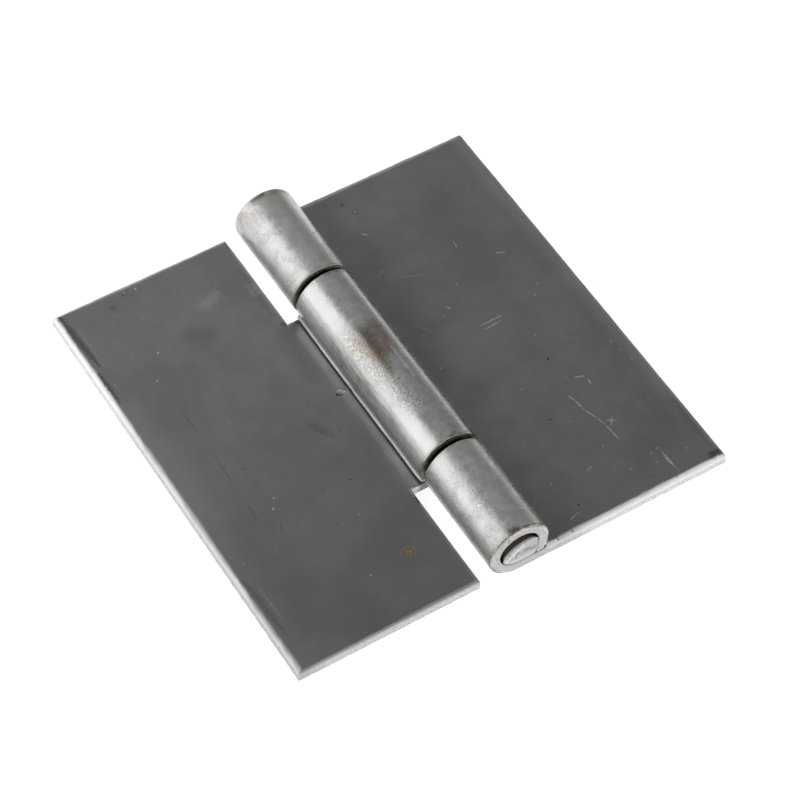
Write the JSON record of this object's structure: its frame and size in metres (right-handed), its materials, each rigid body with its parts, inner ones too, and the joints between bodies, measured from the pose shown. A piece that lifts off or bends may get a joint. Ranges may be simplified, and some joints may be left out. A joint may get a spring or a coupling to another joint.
{
  "type": "butt hinge",
  "caption": "Plain steel butt hinge for welding on: square leaves rolled round a loose pin, with no screw holes.",
  "frame": {"origin": "under the pin axis at the middle of the hinge, on the plane of both leaf backs", "axes": "+Y along the pin, +X from the pin towards the free edge of the leaf with two knuckles, +Z from the leaf backs through the barrel"},
  "size_m": [0.08, 0.08, 0.011],
  "materials": {
    "leaf_steel": "dull rolled sheet, burnished bright on the knuckles, with light rust and scratches",
    "pin_steel": "drawn rod with cropped and pressed ends"
  },
  "bodies": {
    "pinned_leaf": {"two_knuckle_leaf": "leaf_steel", "hinge_pin": "pin_steel"},
    "swinging_leaf": {"one_knuckle_leaf": "leaf_steel"}
  },
  "joints": [
    {"name": "leaf_swing", "type": "hinge", "parent": "pinned_leaf", "child": "swinging_leaf", "pos_m": [0, 0, 0.0055], "axis": [0, 1, 0], "range_deg": [-103, 189]}
  ]
}
